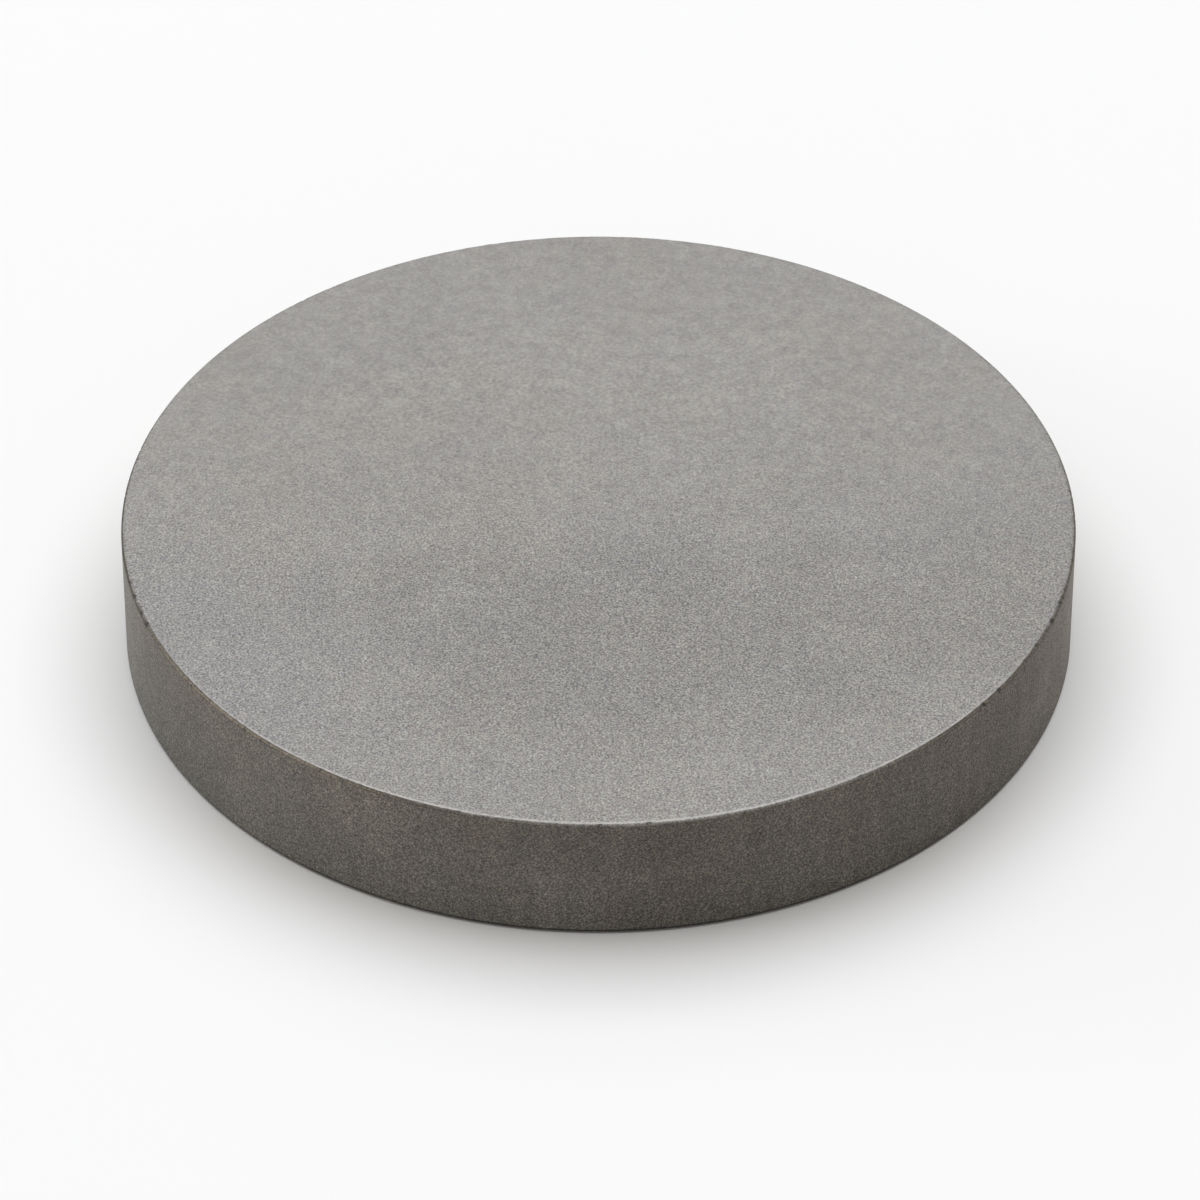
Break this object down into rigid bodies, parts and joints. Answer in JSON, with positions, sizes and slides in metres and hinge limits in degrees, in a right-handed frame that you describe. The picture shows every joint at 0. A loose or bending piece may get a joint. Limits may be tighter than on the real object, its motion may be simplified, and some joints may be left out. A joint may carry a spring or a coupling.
{
  "type": "sputtering target",
  "caption": "Round planar sputtering target: a plain solid disc of ground sintered metal with finely broken rim edges.",
  "frame": {"origin": "centre of the disc's flat bonding face, which it lies on", "axes": "+Z along the disc's axis, out of the face that is sputtered; the disc is round, so +X and +Y are free"},
  "size_m": [0.0508, 0.0508, 0.0073],
  "materials": {
    "sintered_metal": "fine-ground matt sintered metal"
  },
  "bodies": {
    "root": {"target_disc": "sintered_metal"}
  },
  "joints": []
}
